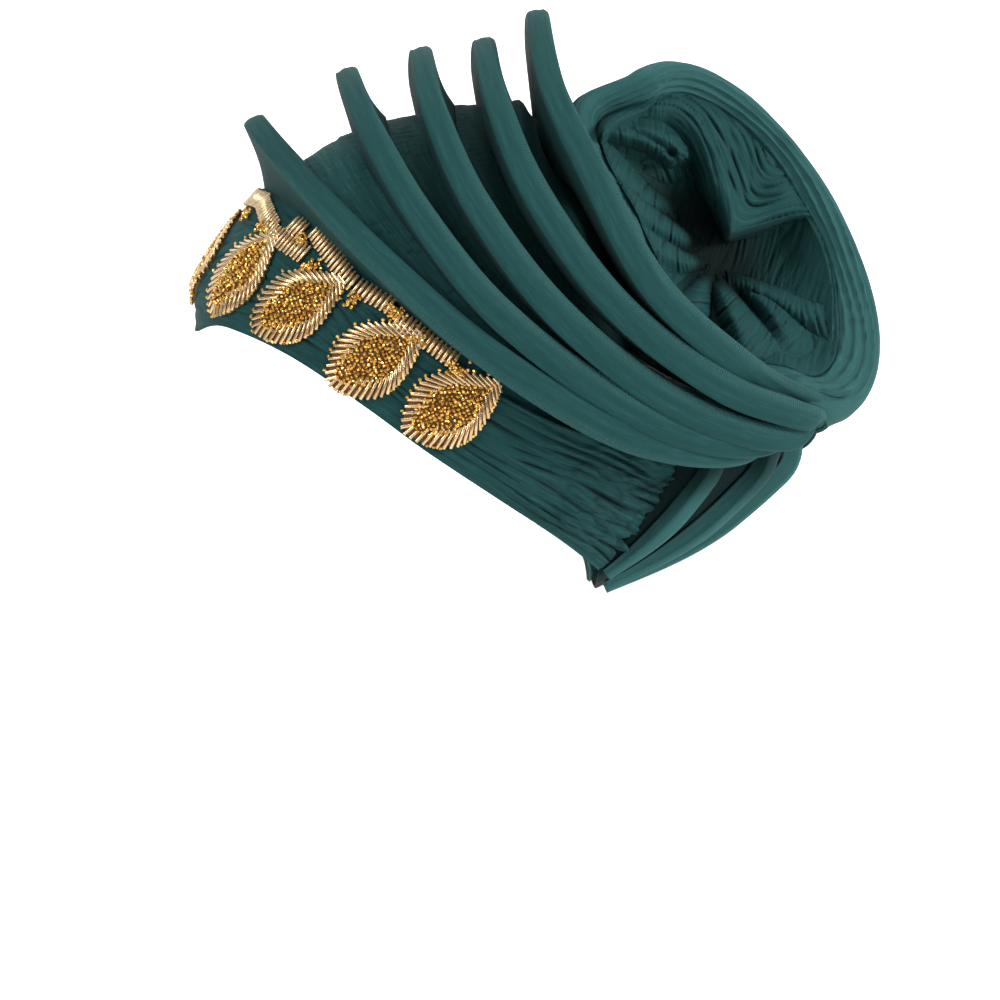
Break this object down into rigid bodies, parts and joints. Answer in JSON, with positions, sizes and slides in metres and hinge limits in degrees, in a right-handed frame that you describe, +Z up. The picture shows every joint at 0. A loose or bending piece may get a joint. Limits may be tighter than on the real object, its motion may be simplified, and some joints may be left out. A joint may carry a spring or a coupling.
{
  "type": "tied gele head tie",
  "caption": "Teal pleated cloth head tie: a crinkled cap and brow band with bead leaves, standing pleats sweeping from crown to back, and a folded rosette at the back left.",
  "frame": {"origin": "middle of the head at the height of the brow hem, where the wrap sits", "axes": "the wearer faces -Y, +X is the wearer's left, +Z is up"},
  "size_m": [0.1986, 0.2967, 0.246],
  "materials": {
    "teal_cloth": "crinkled satin knit",
    "gold_beads": "pale gold bugle and seed beads"
  },
  "bodies": {
    "root": {"cap": "teal_cloth", "brow_band": "teal_cloth", "pleat_1": "teal_cloth", "pleat_2": "teal_cloth", "pleat_3": "teal_cloth", "pleat_4": "teal_cloth", "pleat_5": "teal_cloth", "nape_pouch": "teal_cloth", "nape_pleat_left_outer": "teal_cloth", "nape_pleat_left_inner": "teal_cloth", "nape_pleat_middle": "teal_cloth", "nape_pleat_right_inner": "teal_cloth", "nape_pleat_right_outer": "teal_cloth", "rosette_rim": "teal_cloth", "rosette_heart": "teal_cloth", "leaf_brow": "gold_beads", "leaf_left_1": "gold_beads", "leaf_right_1": "gold_beads", "leaf_left_2": "gold_beads", "leaf_right_2": "gold_beads", "leaf_left_3": "gold_beads", "leaf_right_3": "gold_beads", "leaf_left_4": "gold_beads", "leaf_right_4": "gold_beads", "bead_stem": "gold_beads"}
  },
  "joints": []
}
